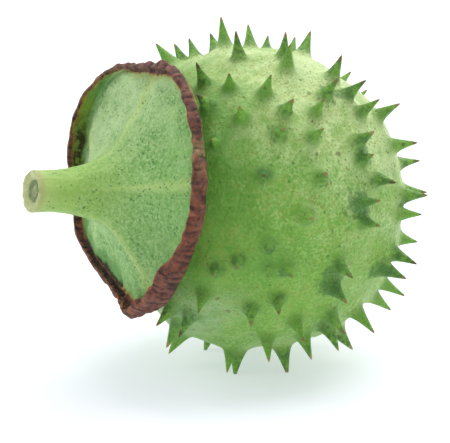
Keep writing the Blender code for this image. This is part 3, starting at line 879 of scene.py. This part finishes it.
    # Near black, in blotches, on the lower part of the yellowed wall at the left.
    dark_lower_wall = times(tree, times(tree, yellowed, fade(tree, around, 0.34, 0.29)),
                 fade(tree, blotch, 0.0, 0.4, 0.4, 1.0))
    colour = tint(tree, dark_lower_wall, colour, (0.035, 0.035, 0.01))
    rust = times(tree, fade(tree, ragged, -0.35, -0.02), 0.85)
    colour = tint(tree, rust, colour, (0.36, 0.15, 0.035))
    dry = fade(tree, ragged, -0.06, 0.12)
    colour = tint(tree, dry, colour, dry_colour)
    wrinkle = effect(tree, CREASES, Vector=place, Per_mm=1.2, Width=0.08)
    height = sums(tree, "MULTIPLY_ADD", patches, 1.2, times(tree, grain, 0.6))
    rough_edge = times(tree, sums(tree, "SUBTRACT", fibres, wrinkle), dry)
    height = sums(tree, "MULTIPLY_ADD", rough_edge, 1.5, height)
    height = sums(tree, "SUBTRACT", height, times(tree, pricks, 0.4))
    return sheet.use(colour, height, 0.09 * MM)


def stem_green():
    """Smooth yellow-green stalk with fine specks, a pale cut rim and a dull pith."""
    stalk = Finish("stem_green", 0.48, sheen=0.05, soft=0.15)
    tree, place = stalk.tree, stalk.place
    cut = stalk.stored("on_cut")
    drawn = put(tree, "ShaderNodeMapping", {"Vector": stalk.in_pod, "Scale": (1, 1, 0.16)}).outputs["Vector"]
    lines = effect(tree, MOTTLE, Vector=drawn, Per_mm=1.6, Detail=3.0, Contrast=2.6)
    grain = effect(tree, MOTTLE, Vector=place, Per_mm=2.2, Detail=4.0, Contrast=4.0)
    colour = tint(tree, sums(tree, "MULTIPLY_ADD", lines, 0.5, times(tree, grain, 0.5)),
                  (0.26, 0.47, 0.085), (0.37, 0.56, 0.145))
    axes = put(tree, "ShaderNodeSeparateXYZ", {"Vector": stalk.in_pod}).outputs
    end = fade(tree, axes["Z"], 30.5 * MM, 33.6 * MM)
    colour = wash(tree, end, 0.6, colour, (0.46, 0.58, 0.20))
    pricks = effect(tree, FLECKS, Vector=place, Per_mm=2.1, Share=0.36, Size=0.32)
    colour = wash(tree, pricks, 0.7, colour, (0.085, 0.18, 0.035))
    rim = fade(tree, sums(tree, "MULTIPLY_ADD", grain, 0.3 * MM, axes["Z"]), 33.0 * MM, 33.6 * MM)
    colour = wash(tree, rim, 0.8, colour, (0.42, 0.44, 0.16))
    face = tint(tree, lines, (0.36, 0.40, 0.15), (0.52, 0.56, 0.28))
    colour = tint(tree, fade(tree, cut, 0.25, 0.45), colour, face)
    pith = tint(tree, lines, (0.09, 0.13, 0.045), (0.2, 0.27, 0.11))
    colour = tint(tree, fade(tree, cut, 0.6, 0.95), colour, pith)
    height = sums(tree, "MULTIPLY_ADD", lines, 1.2, times(tree, grain, 0.6))
    return stalk.use(colour, height, 0.06 * MM)


def table_white():
    """A pale board that glows a little, as if lit through from below, so that the shadow on it stays pale."""
    board = bpy.data.materials.new("pale_table")
    board.use_nodes = True
    shader = board.node_tree.nodes["Principled BSDF"]
    shader.inputs["Base Color"].default_value = TABLE_COLOUR
    shader.inputs["Roughness"].default_value = 0.9
    shader.inputs["Specular IOR Level"].default_value = 0.1
    shader.inputs["Emission Color"].default_value = TABLE_GLOW_COLOUR
    shader.inputs["Emission Strength"].default_value = TABLE_GLOW
    return board


def soft_light(name, place, size, strength, colour=(1, 1, 1)):
    """A square softbox aimed at the pod. Its strength is what it would add to a white card facing it."""
    lamp = bpy.data.lights.new(name, "AREA")
    lamp.size = size
    lamp.color = colour
    distance = (Vector(place) - CENTRE).length
    lamp.energy = strength * math.pi * distance**2 * math.pi
    seat = bpy.data.objects.new(name, lamp)
    bpy.context.scene.collection.objects.link(seat)
    aim = (Vector(place) - CENTRE).to_track_quat("Z", "Y").to_matrix().to_4x4()
    seat.matrix_world = Matrix.Translation(place) @ aim


def set_up_studio():
    """A plain white table, soft light from above, behind and the left, and the camera."""
    bm = bmesh.new()
    bmesh.ops.create_grid(bm, x_segments=1, y_segments=1, size=TABLE_HALF)
    mesh = bpy.data.meshes.new("table")
    bm.to_mesh(mesh)
    bm.free()
    mesh.materials.append(table_white())
    table = bpy.data.objects.new("table", mesh)
    bpy.context.scene.collection.objects.link(table)

    right = Vector((math.cos(CAMERA_AZIMUTH), math.sin(CAMERA_AZIMUTH), 0))
    level_back = Vector((math.sin(CAMERA_AZIMUTH), -math.cos(CAMERA_AZIMUTH), 0))
    back = math.cos(CAMERA_ELEVATION) * level_back + Vector((0, 0, math.sin(CAMERA_ELEVATION)))
    up = back.cross(right)
    camera = bpy.data.cameras.new("camera")
    camera.sensor_width = SENSOR
    camera.lens = LENS
    camera.clip_start = 0.01
    seat = bpy.data.objects.new("camera", camera)
    bpy.context.scene.collection.objects.link(seat)
    aim = CENTRE - AIM_LEFT * right - AIM_DOWN * up
    turned = Matrix((right, up, back)).transposed().to_4x4()
    seat.matrix_world = Matrix.Translation(aim + CAMERA_DISTANCE * back) @ turned
    bpy.context.scene.camera = seat

    above = Vector((0, 0, 1.0))
    soft_light("light_above", above + 0.25 * right - 0.25 * level_back, 0.9, 0.8)
    soft_light("light_behind", 0.5 * above - 0.9 * level_back + 0.5 * right, 0.7, 0.25)
    soft_light("light_left", 0.7 * above - 1.1 * right - 0.1 * level_back, 0.8, 0.3)
    world = bpy.data.worlds.new("studio")
    bpy.context.scene.world = world
    world.use_nodes = True
    world.node_tree.nodes["Background"].inputs["Color"].default_value = (1, 1, 1, 1)
    world.node_tree.nodes["Background"].inputs["Strength"].default_value = ROOM_LIGHT
    bpy.context.scene.view_settings.view_transform = "Standard"


make_capsule(capsule_skin())
make_calyx(calyx_green())
make_stem(stem_green())
set_up_studio()
